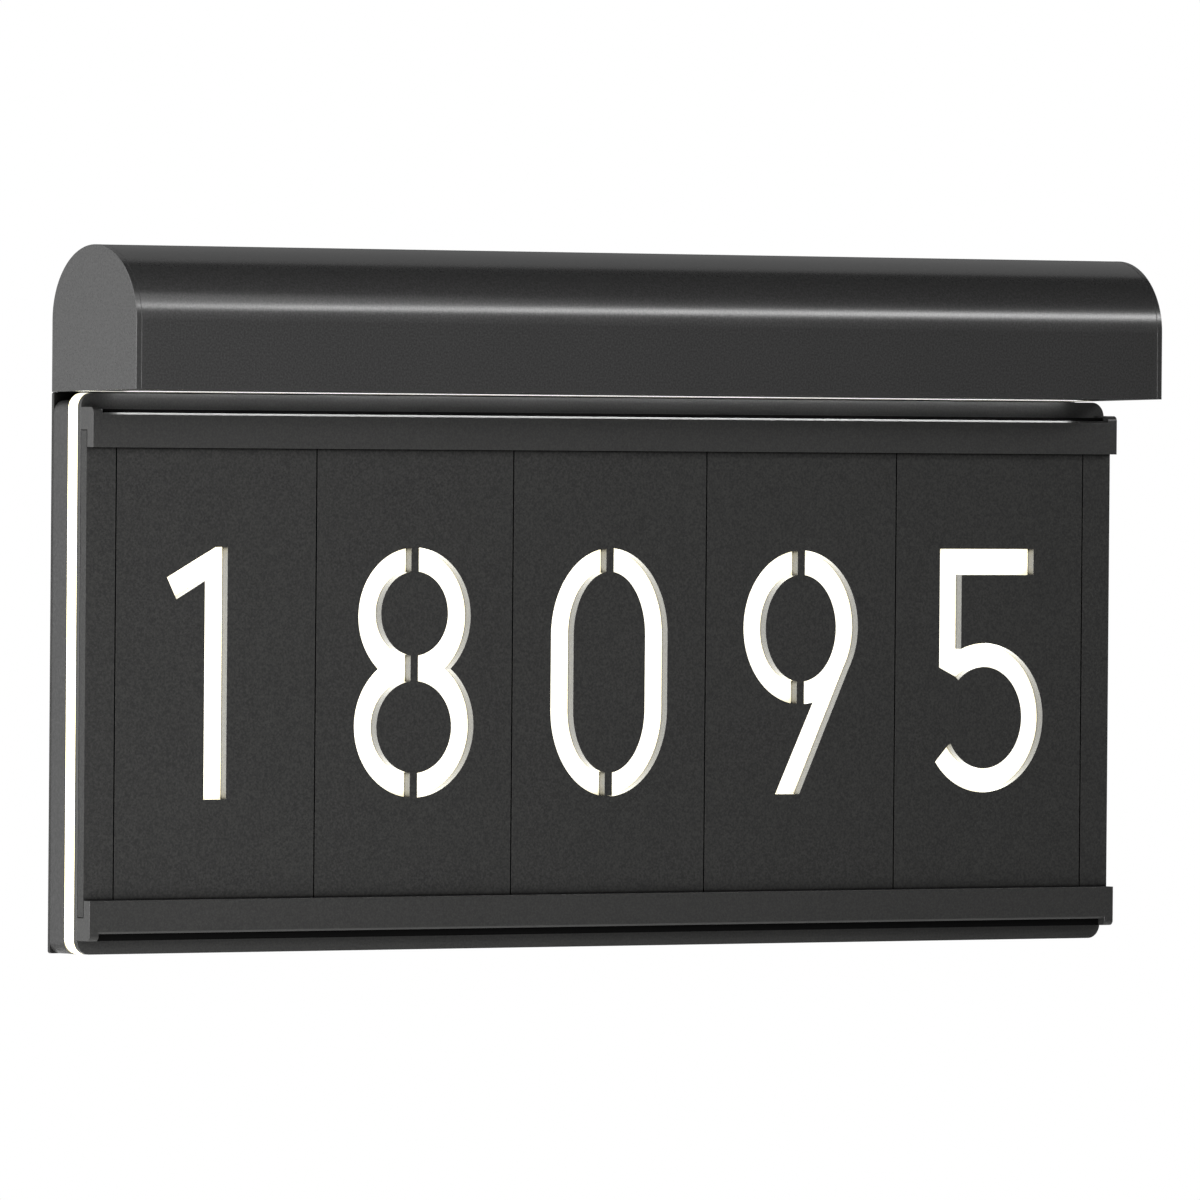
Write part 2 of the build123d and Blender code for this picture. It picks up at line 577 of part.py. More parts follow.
def hood_shell():
    """Bent sheet: flat front, half-round top, short back leg, and a lip that the base screws to."""
    length = 2 * SHELL_END
    outside = extrude(Plane.YZ.offset(-SHELL_END) * hood_outline(), amount=length)
    inside = extrude(Plane.YZ.offset(-SHELL_END) * hood_outline(HOOD_WALL), amount=length)
    shell = outside - inside
    open_depth = HOOD_DEPTH - HOOD_WALL
    open_top = PLATE_TOP + PLATE_TOP_GAP
    below = [(0, open_top), (open_depth, open_top), (open_depth, PANEL_BOTTOM), (0, PANEL_BOTTOM)]
    shell -= bar(below, -SHELL_END, SHELL_END)
    back = open_depth - SHELL_LIP_DEPTH
    front_seat = underside(open_depth) + BASE_THICKNESS
    back_seat = underside(back) + BASE_THICKNESS
    lip = [
        (open_depth, front_seat), (open_depth, front_seat + SHELL_LIP_THICKNESS),
        (back, back_seat + SHELL_LIP_THICKNESS), (back, back_seat),
    ]
    shell += bar(lip, -SHELL_END, SHELL_END)
    for x in HOOD_SCREW_X:
        shell -= upright(x, HOOD_SCREW_DEPTH, PANEL_TOP, SPRING_LINE, M3 + HOLE_GAP)
    return shell


def hood_end_cap(side):
    """Flat plate with the hood's full outline, and a tongue that locates it in the shell."""
    start, end = sorted((side * (HALF - END_CAP_THICKNESS), side * HALF))
    cap = extrude(Plane.YZ.offset(start) * hood_outline(), amount=end - start)
    tongue_inset = HOOD_WALL + BASE_EDGE_GAP
    tongue = hood_outline(tongue_inset, HOOD_FLAT_HEIGHT)
    tongue -= hood_outline(tongue_inset + TONGUE_THICKNESS, HOOD_FLAT_HEIGHT)
    reach = side * (HALF - END_CAP_THICKNESS - TONGUE_LENGTH)
    low, high = sorted((reach, side * (HALF - END_CAP_THICKNESS)))
    return cap + extrude(Plane.YZ.offset(low) * tongue, amount=high - low)


def countersunk_head(x, depth, radius, head):
    """Cone of a countersunk head that ends just inside the hood's base."""
    face = underside(depth + head) + HOLE_GAP
    cone = Cone(head, radius, COUNTERSINK, align=(Align.CENTER, Align.CENTER, Align.MIN))
    return Pos(x, -depth, face) * cone


def countersunk_hole(x, depth, radius, head):
    """Tool for a countersunk hole in the hood's base."""
    face = underside(depth + head) + HOLE_GAP
    tool = countersunk_head(x, depth, radius, head) + upright(x, depth, PANEL_TOP, face, head)
    return tool + upright(x, depth, face, SPRING_LINE, radius)


def downlight_lens():
    """Opal strip set flush in the hood's base, in front of the panel."""
    far = DOWNLIGHT_DEPTH + DOWNLIGHT_WIDTH
    end = HALF - DOWNLIGHT_INSET
    low_near = underside(DOWNLIGHT_DEPTH)
    low_far = underside(far)
    section = [
        (DOWNLIGHT_DEPTH, low_near), (far, low_far), (far, low_far + BASE_THICKNESS),
        (DOWNLIGHT_DEPTH, low_near + BASE_THICKNESS),
    ]
    return bar(section, -end, end)


def downlight_strip():
    """Ribbon of chips under one phosphor, stuck along the lens between the brackets."""
    near = DOWNLIGHT_DEPTH + DOWNLIGHT_MARGIN
    far = DOWNLIGHT_DEPTH + DOWNLIGHT_WIDTH - DOWNLIGHT_MARGIN
    end = BRACKET_X - BRACKET_WIDTH / 2 - DOWNLIGHT_MARGIN
    low_near = underside(near) + BASE_THICKNESS
    low_far = underside(far) + BASE_THICKNESS
    section = [
        (near, low_near), (far, low_far), (far, low_far + DOWNLIGHT_STRIP), (near, low_near + DOWNLIGHT_STRIP)
    ]
    return bar(section, -end, end)


def hood_base():
    """Sloping sheet that closes the hood's underside."""
    half = SHELL_END - BASE_EDGE_GAP
    near = PLATE_THICKNESS + BASE_EDGE_GAP
    far = HOOD_DEPTH - HOOD_WALL - BASE_EDGE_GAP
    base = bar(
        [
            (near, underside(near)), (far, underside(far)),
            (far, underside(far) + BASE_THICKNESS), (near, underside(near) + BASE_THICKNESS),
        ],
        -half, half,
    )
    for x in HOOD_SCREW_X:
        base -= countersunk_hole(x, HOOD_SCREW_DEPTH, M3, M3_HEAD)
    for side in (-1, 1):
        base -= countersunk_hole(side * BRACKET_X, BRACKET_SCREW_DEPTH, M4, M4_HEAD)
    base -= downlight_lens()
    return base - upright(LEAD_X, LEAD_DEPTH, PANEL_TOP, SPRING_LINE, BUSH_RADIUS + PASS_GAP)


def hood_bracket(side):
    """Bent bracket: one leg on the wall plate, one along the top of the base."""
    low = underside(PLATE_THICKNESS) + BASE_THICKNESS
    inner = PLATE_THICKNESS + BRACKET_THICKNESS
    centre = side * BRACKET_X
    far_low = underside(BRACKET_END) + BASE_THICKNESS
    bend = underside(inner) + BASE_THICKNESS + BRACKET_THICKNESS
    profile = [
        (PLATE_THICKNESS, low), (BRACKET_END, far_low), (BRACKET_END, far_low + BRACKET_THICKNESS),
        (inner, bend), (inner, PLATE_TOP), (PLATE_THICKNESS, PLATE_TOP),
    ]
    bracket = bar(profile, centre - BRACKET_WIDTH / 2, centre + BRACKET_WIDTH / 2)
    bracket -= rod(centre, ELECTRICS_Z, PLATE_THICKNESS, inner, M4 + PASS_GAP)
    return bracket - upright(centre, BRACKET_SCREW_DEPTH, PANEL_TOP, ELECTRICS_Z, M4 + HOLE_GAP)


def underside_screw(x, depth, radius, head, reach):
    """Countersunk screw that points up through the hood's base, its head just inside the sheet."""
    face = underside(depth + head) + HOLE_GAP
    return countersunk_head(x, depth, radius, head) + upright(x, depth, face, face + reach, radius)


def hood_screws():
    """Screws through the base into the shell's lip."""
    reach = BASE_THICKNESS + SHELL_LIP_THICKNESS
    return [underside_screw(x, HOOD_SCREW_DEPTH, M3, M3_HEAD, reach) for x in HOOD_SCREW_X]


def bracket_screws():
    """Two screws for each bracket: into the wall plate, and up through the base."""
    reach = BASE_THICKNESS + BRACKET_THICKNESS
    seat = PLATE_THICKNESS + BRACKET_THICKNESS
    screws = []
    for side in (-1, 1):
        x = side * BRACKET_X
        screws.append(pan_screw(x, ELECTRICS_Z, seat, seat, M4, M4_HEAD, M4_HEAD_HEIGHT))
        screws.append(underside_screw(x, BRACKET_SCREW_DEPTH, M4, M4_HEAD, reach))
    return screws


# ---- electrics in the hood ---------------------------------------------------------------------------
def led_driver():
    """Sealed power supply on two feet."""
    half = DRIVER_LENGTH / 2
    low = ELECTRICS_Z - DRIVER_HEIGHT / 2
    high = ELECTRICS_Z + DRIVER_HEIGHT / 2
    front = PLATE_THICKNESS + DRIVER_DEPTH
    box = slab(DRIVER_X - half, DRIVER_X + half, low, high, PLATE_THICKNESS, front)
    foot_front = PLATE_THICKNESS + DRIVER_FOOT_THICKNESS
    reach = half + DRIVER_FOOT
    feet = slab(DRIVER_X - reach, DRIVER_X + reach, low, high, PLATE_THICKNESS, foot_front, 2.0)
    driver = box + feet
    for x in DRIVER_SCREW_X:
        driver -= rod(x, ELECTRICS_Z, PLATE_THICKNESS, foot_front, M3 + PASS_GAP)
    return driver


def driver_screws():
    """Screws through the driver's feet into the wall plate."""
    seat = PLATE_THICKNESS + DRIVER_FOOT_THICKNESS
    return [pan_screw(x, ELECTRICS_Z, seat, seat, M3, M3_HEAD, M3_HEAD_HEIGHT) for x in DRIVER_SCREW_X]


def terminal_block():
    """Mains terminals, with a wire hole and a screw well for each way."""
    half = TERMINAL_LENGTH / 2
    low = ELECTRICS_Z - TERMINAL_HEIGHT / 2
    high = ELECTRICS_Z + TERMINAL_HEIGHT / 2
    front = PLATE_THICKNESS + TERMINAL_DEPTH
    block = slab(TERMINAL_X - half, TERMINAL_X + half, low, high, PLATE_THICKNESS, front)
    pitch = TERMINAL_LENGTH / TERMINAL_WAYS
    for way in range(TERMINAL_WAYS):
        x = TERMINAL_X + (way - (TERMINAL_WAYS - 1) / 2) * pitch
        block -= rod(x, ELECTRICS_Z, front - TERMINAL_DEPTH / 3, front, TERMINAL_HOLE)
        wire_depth = PLATE_THICKNESS + TERMINAL_DEPTH / 3
        block -= upright(x, wire_depth, low, low + TERMINAL_HEIGHT / 2, TERMINAL_HOLE)
    return block


def lead(points, radii):
    """Round lead along straight runs joined by arcs."""
    path = FilletPolyline(*points, radius=radii) if radii else Line(*points)
    return sweep(Plane(origin=path @ 0, z_dir=path % 0) * Circle(LEAD_RADIUS), path=path)


def supply_lead():
    """Lead from the terminals to the driver."""
    depth = PLATE_THICKNESS + DRIVER_DEPTH / 2
    start = TERMINAL_X + TERMINAL_LENGTH / 2
    return lead([(start, -depth, ELECTRICS_Z), (DRIVER_X - DRIVER_LENGTH / 2, -depth, ELECTRICS_Z)], None)


def light_lead():
    """Lead from the driver, down through the bush, to the top board's connector."""
    start = (DRIVER_X + DRIVER_LENGTH / 2, -LEAD_DEPTH, ELECTRICS_Z)
    turn = (LEAD_X, -LEAD_DEPTH, ELECTRICS_Z)
    end = (LEAD_X, -LEAD_DEPTH, BOARD_ROWS[-1] + BOARD_WIDTH / 3)
    return lead([start, turn, end], LEAD_BEND)


def downlight_lead():
    """Short lead from the driver's front down to the downlight's ribbon."""
    depth = DOWNLIGHT_DEPTH + DOWNLIGHT_WIDTH / 2
    low = underside(depth + LEAD_RADIUS) + BASE_THICKNESS + DOWNLIGHT_STRIP
    high = low + DOWNLIGHT_LEAD_RISE
    front = PLATE_THICKNESS + DRIVER_DEPTH
    start = (DOWNLIGHT_LEAD_X, -depth, low)
    turn = (DOWNLIGHT_LEAD_X, -depth, high)
    return lead([start, turn, (DOWNLIGHT_LEAD_X, -front, high)], DOWNLIGHT_LEAD_BEND)


def cable_grommet():
    """Rubber grommet in the wall plate's cable entry."""
    neck = rod(CABLE_ENTRY_X, ELECTRICS_Z, 0, PLATE_THICKNESS, CABLE_ENTRY_BORE + GROMMET_WALL)
    flange = rod(
        CABLE_ENTRY_X, ELECTRICS_Z, PLATE_THICKNESS, PLATE_THICKNESS + GROMMET_FLANGE,
        CABLE_ENTRY_BORE + GROMMET_WALL + GROMMET_FLANGE,
    )
    bore = rod(CABLE_ENTRY_X, ELECTRICS_Z, 0, PLATE_THICKNESS + GROMMET_FLANGE, CABLE_ENTRY_BORE)
    return neck + flange - bore


def lead_bush():
    """Rubber bush that takes the lead through the base and the housing's top wall."""
    low = HOUSING_TOP - HOUSING_WALL
    high = underside(0) + BASE_THICKNESS + GROMMET_FLANGE
    bush = upright(LEAD_X, LEAD_DEPTH, low, high, BUSH_RADIUS)
    return bush - upright(LEAD_X, LEAD_DEPTH, low, high, LEAD_RADIUS + LEAD_HOLE_GAP)


# ---- write every piece --------------------------------------------------------------------------------
os.makedirs("parts", exist_ok=True)

save("wall_plate", wall_plate())
save("back_housing", back_housing())
save("housing_gasket", gasket_ring())
save("housing_screws", [
    pan_screw(x, z, HOUSING_INSIDE, HOUSING_INSIDE, M3, M3_HEAD, M3_HEAD_HEIGHT) for x, z in HOUSING_SCREWS
])
save("led_boards", led_boards())
save("led_chips", led_chips())
save("board_connectors", [connector(x, row) for x, row in connector_places()])
save("board_jumpers", board_jumpers())
save("reflector_sheet", reflector_sheet())
save("diffuser_panel", diffuser_panel())
save("number_window", number_window())
save("front_frame", front_frame())
save("frame_screws", frame_screws())
save("top_rail", top_rail())
save("bottom_rail", bottom_rail())
save("rail_screws", rail_screws())
save("top_seal", rail_seal(TOP_LIP_EDGE, TOP_SEAL_HEIGHT))
save("bottom_seal", rail_seal(BOTTOM_LIP_EDGE, -BOTTOM_LUG_RISE))
for place in range(len(DIGITS)):
    save(f"number_tile_{place + 1}", number_tile(place))
save("left_filler", filler(-1))
save("right_filler", filler(1))
save("hood_shell", hood_shell())
save("hood_end_cap_left", hood_end_cap(-1))
save("hood_end_cap_right", hood_end_cap(1))
save("hood_base", hood_base())
save("downlight_lens", downlight_lens())
save("downlight_strip", downlight_strip())
save("hood_bracket_left", hood_bracket(-1))
save("hood_bracket_right", hood_bracket(1))
save("hood_screws", hood_screws())
save("bracket_screws", bracket_screws())
save("led_driver", led_driver())
save("driver_screws", driver_screws())
save("terminal_block", terminal_block())
save("supply_lead", supply_lead())
save("light_lead", light_lead())
save("downlight_lead", downlight_lead())
save("cable_grommet", cable_grommet())
save("lead_bush", lead_bush())
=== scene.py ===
import math

import bmesh
import bpy
from mathutils import Matrix, Vector


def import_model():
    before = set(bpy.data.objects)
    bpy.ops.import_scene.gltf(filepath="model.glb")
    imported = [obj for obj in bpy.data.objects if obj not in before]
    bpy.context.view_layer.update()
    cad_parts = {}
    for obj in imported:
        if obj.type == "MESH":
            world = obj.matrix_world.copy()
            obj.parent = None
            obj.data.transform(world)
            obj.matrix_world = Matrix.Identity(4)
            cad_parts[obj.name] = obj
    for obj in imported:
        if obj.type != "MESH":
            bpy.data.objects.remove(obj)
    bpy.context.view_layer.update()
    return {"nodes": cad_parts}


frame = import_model()
nodes = frame["nodes"]

# Metres. The wall is the plane Y = 0, the sign faces -Y, +X runs along the digits and +Z is up.
MM = 0.001

# ---- camera ---------------------------------------------------------------------------------------
CAMERA_PLACE = Vector((-3614.2, -4992.9, 97.66)) * MM
CAMERA_YAW = math.radians(36.0)        # turned from square-on, so the sign's left end shows
CAMERA_PITCH = math.radians(-0.635)
CAMERA_ROLL = math.radians(0.4616)
FOCAL_LENGTH = 449.9                   # on a sensor 36 mm wide
SENSOR_WIDTH = 36.0
CLIP_END = 50.0

# ---- studio ---------------------------------------------------------------------------------------
FLOOR_HEIGHT = -0.9
FLOOR_SIZE = 6.0
FLOOR_GLOW = 0.55                      # to the camera only
FILL = 0.17                            # strength of the surroundings' diffuse light
TO_SIGN = (-0.586, 0.81, 0)            # from the front right, where the flat fronts mirror the camera

# ---- materials' shared values ---------------------------------------------------------------------
OPEN_SAMPLES = 8
BEVEL_SAMPLES = 4
NO_PAINTED_SHADE = 0.01                         # millimetres: too short a reach for the painted shade in gaps to show
PAINTED_SHADE_OPENNESS = (0.45, 0.9)            # painted shade in gaps: fully darkened below the first openness, not at all above the second
# Near-black colour of the painted shade in narrow gaps between parts.
PAINTED_SEAM_SHADE_COLOUR = "050505"
GRAIN_STOPS = (0.38, 0.68)             # where the grain turns from the coat's colour to its speckle
GRAIN_STRENGTH = 0.3
ROUGHNESS_SPREAD = 0.03
CLOUD_SHARE = 0.06                     # how much the opal's cloudiness shifts its tint
BAND_MIDDLE = 0.35                     # share of a panel's half thickness that is evenly white
REARWARD = 0.5                         # a normal's Y above this turns to the wall
COLOUR_A, COLOUR_B, COLOUR_RESULT = 6, 7, 2    # a mix node's colour sockets


# ---- node helpers ----------------------------------------------------------------------------------
def linear(hex_colour):
    """sRGB hex to linear RGBA."""
    channels = [int(hex_colour[i:i + 2], 16) / 255 for i in (0, 2, 4)]
    return [c / 12.92 if c <= 0.04045 else ((c + 0.055) / 1.055) ** 2.4 for c in channels] + [1.0]


def add(tree, kind, settings=None, links=None, values=None):
    """Add a node, set its properties and socket values, and link its inputs from other sockets."""
    node = tree.nodes.new(kind)
    for name, value in (settings or {}).items():
        setattr(node, name, value)
    for name, value in (values or {}).items():
        node.inputs[name].default_value = value
    for name, source in (links or {}).items():
        tree.links.new(source, node.inputs[name])
    return node


def new_material(name):
    """Empty node material with its output."""
    material = bpy.data.materials.new(name)
    material.use_nodes = True
    tree = material.node_tree
    tree.nodes.clear()
    output = tree.nodes.new("ShaderNodeOutputMaterial")
    return material, tree, output


def per_mm(size):
    """Texture scale whose features are about this many millimetres across."""
    return 1.0 / (size * MM)


def open_level(tree, reach, low, high):
    """0 where neighbours within reach hem a face in, and 1 where it is open."""
    open_sky = add(tree, "ShaderNodeAmbientOcclusion", {"samples": OPEN_SAMPLES},
                   values={"Distance": reach * MM})
    level = add(tree, "ShaderNodeMapRange", links={"Value": open_sky.outputs["AO"]},
                values={"From Min": low, "From Max": high})
    return level.outputs["Result"]


def band_level(tree, node):
    """1 along the middle of a panel's thickness and 0 at its front and back."""
    depths = [vertex.co.y for vertex in nodes[node].data.vertices]
    middle = (min(depths) + max(depths)) / 2
    half = (max(depths) - min(depths)) / 2
    place = add(tree, "ShaderNodeSeparateXYZ", links={0: add(tree, "ShaderNodeTexCoord").outputs["Object"]})
    off = add(tree, "ShaderNodeMath", {"operation": "SUBTRACT"}, links={0: place.outputs["Y"]},
              values={1: middle})
    away = add(tree, "ShaderNodeMath", {"operation": "ABSOLUTE"}, links={0: off.outputs["Value"]})
    level = add(tree, "ShaderNodeMapRange", {"interpolation_type": "SMOOTHSTEP"},
                links={"Value": away.outputs["Value"]},
                values={"From Min": half, "From Max": BAND_MIDDLE * half})
    return level.outputs["Result"]


# ---- materials --------------------------------------------------------------------------------------
def powder_coat(name, colour, speckle, roughness, grain=0.8, depth=0.012, edge=0.4, shine=0.3, shade_reach=NO_PAINTED_SHADE):
    """Fine-textured polyester powder coat on metal: an even satin black whose tiny orange-peel
    grain breaks up reflections into a soft sparkle. Real grain, taken as about 0.3 mm, is too fine
    to show here, so it is drawn coarser. Edges are eased as a coating rounds them. In gaps narrower
    than the shade reach the coat is darkened and loses its shine: painted shade where neighbours hem it in."""
    material, tree, output = new_material(name)
    place = add(tree, "ShaderNodeTexCoord").outputs["Object"]
    fine = add(tree, "ShaderNodeTexNoise", links={"Vector": place},
               values={"Scale": per_mm(grain), "Detail": 3.0, "Roughness": 0.6})
    broad = add(tree, "ShaderNodeTexNoise", links={"Vector": place},
                values={"Scale": per_mm(60), "Detail": 2.0})
    ramp = add(tree, "ShaderNodeValToRGB", links={"Fac": fine.outputs["Fac"]})
    for stop, position, tone in zip(ramp.color_ramp.elements, GRAIN_STOPS, (colour, speckle)):
        stop.position = position
        stop.color = linear(tone)
    # Painted shade: where neighbours within the reach hem the coat in, it is darkened toward near black and
    # its shine is taken away.
    shade = open_level(tree, shade_reach, *PAINTED_SHADE_OPENNESS)
    coat = add(tree, "ShaderNodeMix", {"data_type": "RGBA"}, values={COLOUR_A: linear(PAINTED_SEAM_SHADE_COLOUR)},
               links={"Factor": shade, COLOUR_B: ramp.outputs["Color"]})
    rough = add(tree, "ShaderNodeMapRange", links={"Value": broad.outputs["Fac"]},
                values={"To Min": roughness - ROUGHNESS_SPREAD, "To Max": roughness + ROUGHNESS_SPREAD})
    rounded = add(tree, "ShaderNodeBevel", {"samples": BEVEL_SAMPLES}, values={"Radius": edge * MM})
    bump = add(tree, "ShaderNodeBump", values={"Strength": GRAIN_STRENGTH, "Distance": depth * MM},
               links={"Height": fine.outputs["Fac"], "Normal": rounded.outputs["Normal"]})
    gloss = add(tree, "ShaderNodeMath", {"operation": "MULTIPLY"}, links={0: shade}, values={1: shine})
    shader = add(tree, "ShaderNodeBsdfPrincipled", values={"IOR": 1.5},
                 links={"Base Color": coat.outputs[COLOUR_RESULT], "Roughness": rough.outputs["Result"],
                        "Specular IOR Level": gloss.outputs["Value"], "Normal": bump.outputs["Normal"]})
    tree.links.new(shader.outputs["BSDF"], output.inputs["Surface"])
    return material


def lit_opal(name, middle, rim, strength, mirror, level, mask=None, seen=1.0, gloss=0.5):
    """Opal acrylic lit from inside: a flat warm white to the eye, a little creamier close to the
    parts that frame it; where the level comes from openness, that cream is painted shade from their
    nearness. The light has three strengths: the first falls on what is near, mirror is what shows in
    reflections, and seen is what the camera gets. Faces turned to the wall stay dark, and so does what the
    mask covers."""
    material, tree, output = new_material(name)
    place = add(tree, "ShaderNodeTexCoord").outputs["Object"]
    cloud = add(tree, "ShaderNodeTexNoise", links={"Vector": place},
                values={"Scale": per_mm(45), "Detail": 1.0})
    shade = add(tree, "ShaderNodeMath", {"operation": "MULTIPLY_ADD", "use_clamp": True},
                links={0: cloud.outputs["Fac"], 2: level(tree)}, values={1: CLOUD_SHARE})
    tint = add(tree, "ShaderNodeMix", {"data_type": "RGBA"}, links={"Factor": shade.outputs["Value"]},
               values={COLOUR_A: linear(rim), COLOUR_B: linear(middle)})
    path = add(tree, "ShaderNodeLightPath")
    mirrored = add(tree, "ShaderNodeMapRange", links={"Value": path.outputs["Is Glossy Ray"]},
                   values={"To Min": strength, "To Max": mirror})
    power = add(tree, "ShaderNodeMapRange", values={"To Max": seen},
                links={"Value": path.outputs["Is Camera Ray"], "To Min": mirrored.outputs["Result"]})
    facing = add(tree, "ShaderNodeSeparateXYZ", links={0: add(tree, "ShaderNodeTexCoord").outputs["Normal"]})
    forward = add(tree, "ShaderNodeMath", {"operation": "LESS_THAN"}, links={0: facing.outputs["Y"]},
                  values={1: REARWARD})
    lit = add(tree, "ShaderNodeMath", {"operation": "MULTIPLY"},
              links={0: power.outputs["Result"], 1: forward.outputs["Value"]})
    if mask:
        lit = add(tree, "ShaderNodeMath", {"operation": "MULTIPLY"},
                  links={0: lit.outputs["Value"], 1: mask(tree)})
    shader = add(tree, "ShaderNodeBsdfPrincipled",
                 values={"Base Color": linear(rim), "Roughness": 0.35, "IOR": 1.49,
                         "Specular IOR Level": gloss},
                 links={"Emission Color": tint.outputs[COLOUR_RESULT],
                        "Emission Strength": lit.outputs["Value"]})
    tree.links.new(shader.outputs["BSDF"], output.inputs["Surface"])
    return material


def plain(name, colour, roughness, metallic=0.0, mottle=12.0, spread=0.04, shine=0.5):
    """Moulded, rolled or printed surface with a faint cloudiness in its finish."""
    material, tree, output = new_material(name)
    place = add(tree, "ShaderNodeTexCoord").outputs["Object"]
    cloud = add(tree, "ShaderNodeTexNoise", links={"Vector": place},
                values={"Scale": per_mm(mottle), "Detail": 3.0})
    rough = add(tree, "ShaderNodeMapRange", links={"Value": cloud.outputs["Fac"]},
                values={"To Min": roughness - spread, "To Max": roughness + spread})
    shader = add(tree, "ShaderNodeBsdfPrincipled", links={"Roughness": rough.outputs["Result"]},
                 values={"Base Color": linear(colour), "Metallic": metallic})
    if not metallic:
        shader.inputs["Specular IOR Level"].default_value = shine
    tree.links.new(shader.outputs["BSDF"], output.inputs["Surface"])
    return material


def small_light_level(tree):
    """Openness close to the edges of a lens or a chip, which tints its glow toward the rim colour there:
    painted shade.
    """
    return open_level(tree, 4, 0.5, 0.9)


# The hood has the glossiest of the coats: it shows a long highlight.
hood_coat = powder_coat("powder_coated_aluminium_hood", "2b2b2b", "373737", 0.2, edge=0.5, shine=0.5)
# The underside has no grain relief and hardly any shine, since the camera only grazes it.
under_coat = powder_coat("powder_coated_aluminium_underside", "262626", "303030", 0.4, depth=0.0, shine=0.06)
# Frame and rails: satin, with a soft sheen on their left sides.
panel_coat = powder_coat("powder_coated_aluminium_panel", "262626", "333332", 0.32, shine=0.42)
# Tiles: the darkest colour, with sharp edges, and painted shade that turns the seams between neighbours
# black.
tile_coat = powder_coat("powder_coated_steel_tile", "232323", "323231", 0.36, edge=0.1, shine=0.2, shade_reach=2.0)
# The wall plate is darkened to black with painted shade where it lies between the hood and the housing.
plate_coat = powder_coat("powder_coated_aluminium_plate", "262626", "333332", 0.4, shine=0.1, shade_reach=12.0)
# The housing's coarser grain reads as a casting.
housing_coat = powder_coat("powder_coated_casting", "262626", "333333", 0.4, grain=1.2)
# The diffuser's edge glows in a band: white along its middle, cream at both borders.
edge_opal = lit_opal("lit_opal_acrylic_edge", "fffffa", "fdf2c8", 5.0, 6.0,
                     lambda tree: band_level(tree, "diffuser_panel"))
# The window glows cream against the cut digits' walls: painted shade, tinted in from how near the walls are.
# # Behind the narrow seams between the tiles it is masked, so little light comes up through them.
digit_opal = lit_opal("lit_opal_acrylic_window", "fffffc", "fdf3d0", 8.0, 9.0,
                      lambda tree: open_level(tree, 20, 0.42, 0.62),
                      mask=lambda tree: open_level(tree, 20, 0.1, 0.25))
# The downlight's lens is a neutral white with no gloss of its own.
lens_opal = lit_opal("lit_opal_acrylic_lens", "ffffff", "fcfcfc", 0.9, 20.0, small_light_level,
                     seen=1.5, gloss=0.0)
# Phosphor dome of a chip: deep yellow when off, and lit from inside here.
phosphor = lit_opal("lit_phosphor", "fff0c0", "ffe9a8", 2.0, 2.0, small_light_level)
# Matt EPDM: nearly no shine, so it reads as a black line.
rubber = plain("epdm_rubber", "040404", 0.85, shine=0.05)
# Zinc plate: dull grey with a soft spangle.
zinc = plain("zinc_plated_steel", "9a9da0", 0.42, metallic=1.0, mottle=6.0, spread=0.1)
# Stainless screws: brighter and smoother than the plate.
stainless = plain("stainless_steel", "b4b4b4", 0.3, metallic=1.0, mottle=2.0)
# Blackened screws in the frame and under the hood.
black_screw = plain("blackened_steel_screw", "202020", 0.45, mottle=2.0)
# White solder mask over aluminium, slightly glossy.
board_mask = plain("white_solder_mask", "ecece6", 0.38)
# White polyester sheet, matt so that it spreads the light.
white_sheet = plain("white_polyester_sheet", "f0f0ec", 0.8)
# Moulded nylon, off-white with a satin skin.
nylon = plain("moulded_nylon", "dcdcd0", 0.5)
# Driver case: light grey ABS.
driver_case = plain("light_grey_abs", "c4c4be", 0.48)
# PVC sheath: soft black shine.
sheath = plain("pvc_sheath", "161616", 0.4)

FINISHES = {
    hood_coat: ["hood_shell", "hood_end_cap_left", "hood_end_cap_right"],
    under_coat: ["hood_base"],
    panel_coat: ["front_frame", "top_rail", "bottom_rail"],
    plate_coat: ["wall_plate"],
    tile_coat: [f"number_tile_{n}" for n in range(1, 6)] + ["left_filler", "right_filler"],
    housing_coat: ["back_housing"],
    edge_opal: ["diffuser_panel"],
    digit_opal: ["number_window"],
    lens_opal: ["downlight_lens"],
    phosphor: ["led_chips", "downlight_strip"],
    # The top and bottom seals are black rubber set in the rails' recesses: real rubber, and also a dark strip
    # put where the recesses lie in shade.
    rubber: ["housing_gasket", "top_seal", "bottom_seal", "cable_grommet", "lead_bush"],
    zinc: ["hood_bracket_left", "hood_bracket_right"],
    stainless: ["housing_screws", "rail_screws", "driver_screws"],
    black_screw: ["frame_screws", "hood_screws", "bracket_screws"],
    board_mask: ["led_boards"],
    white_sheet: ["reflector_sheet"],
    nylon: ["board_connectors", "terminal_block"],
    driver_case: ["led_driver"],
    sheath: ["supply_lead", "light_lead", "downlight_lead", "board_jumpers"],
}
for finish, names in FINISHES.items():
    for name in names:
        mesh = nodes[name].data
        mesh.materials.clear()
        mesh.materials.append(finish)


# ---- surroundings -----------------------------------------------------------------------------------
def sheet(name, material, place, across, along, facing=(0, 0, 1)):
    """Flat stage sheet, level unless it faces another way."""
    mesh = bpy.data.meshes.new(name)
    work = bmesh.new()
    turn = Vector(facing).to_track_quat("Z", "Y").to_matrix().to_4x4()
    turn = Matrix.Translation(place) @ turn @ Matrix.Diagonal((across / 2, along / 2, 1, 1))
    bmesh.ops.create_grid(work, x_segments=1, y_segments=1, size=1.0, matrix=turn)
    work.to_mesh(mesh)
    work.free()
    mesh.materials.append(material)
    piece = bpy.data.objects.new(name, mesh)
    bpy.context.scene.collection.objects.link(piece)
    return piece


def reflections_only(piece):
    """Show a stage sheet in reflections only: it casts no shadow and blocks no soft light."""
    piece.visible_camera = False
    piece.visible_shadow = False
    piece.visible_diffuse = False


